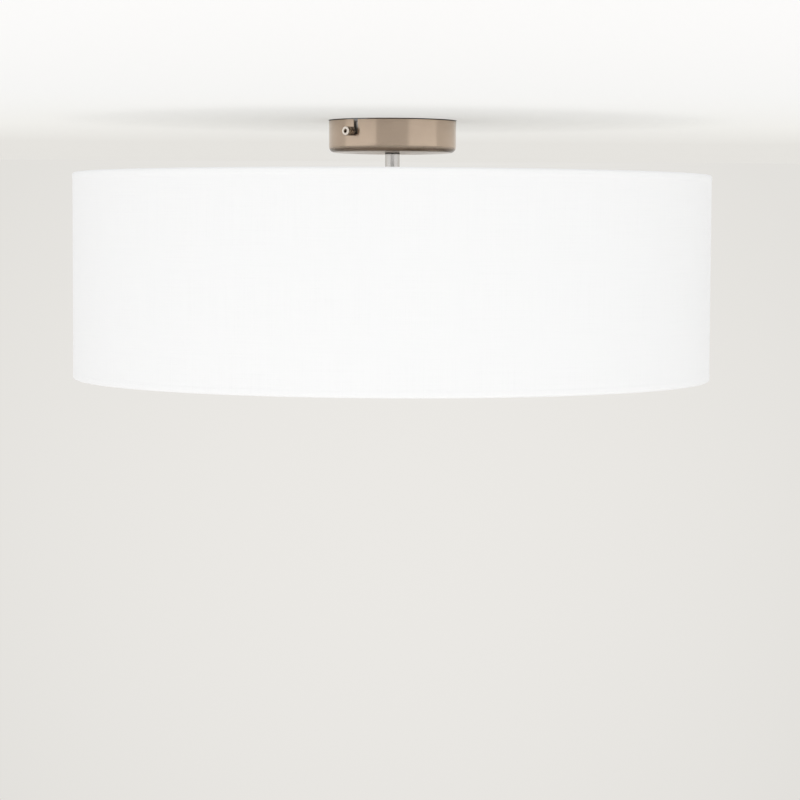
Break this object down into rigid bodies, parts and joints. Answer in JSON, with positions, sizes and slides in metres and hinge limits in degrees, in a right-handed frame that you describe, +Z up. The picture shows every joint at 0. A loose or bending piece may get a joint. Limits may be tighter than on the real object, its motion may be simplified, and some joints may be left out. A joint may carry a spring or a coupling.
{
  "type": "semi-flush ceiling light",
  "caption": "Semi-flush ceiling light: small round canopy with bayonet slots, short stem and a wide, low fabric drum shade over screw lamps, closed below by an opal diffuser.",
  "frame": {"origin": "middle of the bracket's back face, on the ceiling plane", "axes": "+Z up into the ceiling; the canopy's side screws lie along Y, the front one on -Y; the lamps lean out along +X and -X"},
  "size_m": [0.5999, 0.6, 0.2486],
  "materials": {
    "zinc_steel": "bright zinc plating",
    "brass_screw": "plain brass",
    "bronze_screw": "bronze-nickel plating, fine knurled side, bright end",
    "bronze_nickel": "warm bronze-nickel plating, brushed round the axis",
    "dark_collar": "dark, satin",
    "satin_nickel": "satin nickel",
    "white_polyamide": "white, matt",
    "lead_sheath": "white sheath, satin",
    "white_steel": "white powder coating, satin",
    "shade_fabric": "white plain weave on a stiff liner",
    "white_holder": "white thermoplastic, satin",
    "core_ceramic": "unglazed white",
    "opal_acrylic": "opal white, satin",
    "opal_lamp": "opal white tube on a metal screw cap"
  },
  "bodies": {
    "bracket": {"ceiling_bracket": "zinc_steel", "bracket_earth_screw": "brass_screw"},
    "screw_front": {"side_screw_front": "bronze_screw"},
    "screw_back": {"side_screw_back": "bronze_screw"},
    "canopy": {"canopy_cup": "bronze_nickel", "stem_nuts": "zinc_steel", "threaded_tube": "zinc_steel", "stem_collar": "dark_collar", "stem_sleeve": "satin_nickel", "terminal_block": "white_polyamide", "terminal_screws": "brass_screw", "canopy_earth_stud": "brass_screw", "supply_lead": "lead_sheath", "lead_connector": "white_polyamide", "spider": "white_steel", "shade_drum": "shade_fabric", "housing_lid": "white_steel", "lamp_housing": "white_steel", "lamp_holders": "white_holder", "holder_cores": "core_ceramic", "diffuser_rod": "zinc_steel", "rod_nuts": "zinc_steel"},
    "diffuser": {"diffuser_disc": "opal_acrylic"},
    "finial": {"finial_knob": "satin_nickel"},
    "lamp_right": {"bulb_1": "opal_lamp"},
    "lamp_left": {"bulb_2": "opal_lamp"}
  },
  "joints": [
    {"name": "canopy_turn", "type": "hinge", "parent": "bracket", "child": "canopy", "pos_m": [0, 0, -0.0118], "axis": [0, 0, 1], "range_deg": [-3.6, 0]},
    {"name": "front_screw_out", "type": "slide", "parent": "bracket", "child": "screw_front", "axis": [0, -1, 0], "range_m": [0, 0.004]},
    {"name": "back_screw_out", "type": "slide", "parent": "bracket", "child": "screw_back", "axis": [0, 1, 0], "range_m": [0, 0.004]},
    {"name": "diffuser_drop", "type": "slide", "parent": "canopy", "child": "diffuser", "axis": [0, 0, -1], "range_m": [0, 0.06]},
    {"name": "finial_turn", "type": "hinge", "parent": "diffuser", "child": "finial", "pos_m": [0, 0, -0.24], "axis": [0, 0, 1], "continuous": true},
    {"name": "lamp_right_out", "type": "slide", "parent": "canopy", "child": "lamp_right", "axis": [0.9397, 0, -0.342], "range_m": [0, 0.028]},
    {"name": "lamp_left_out", "type": "slide", "parent": "canopy", "child": "lamp_left", "axis": [-0.9397, 0, -0.342], "range_m": [0, 0.028]}
  ]
}
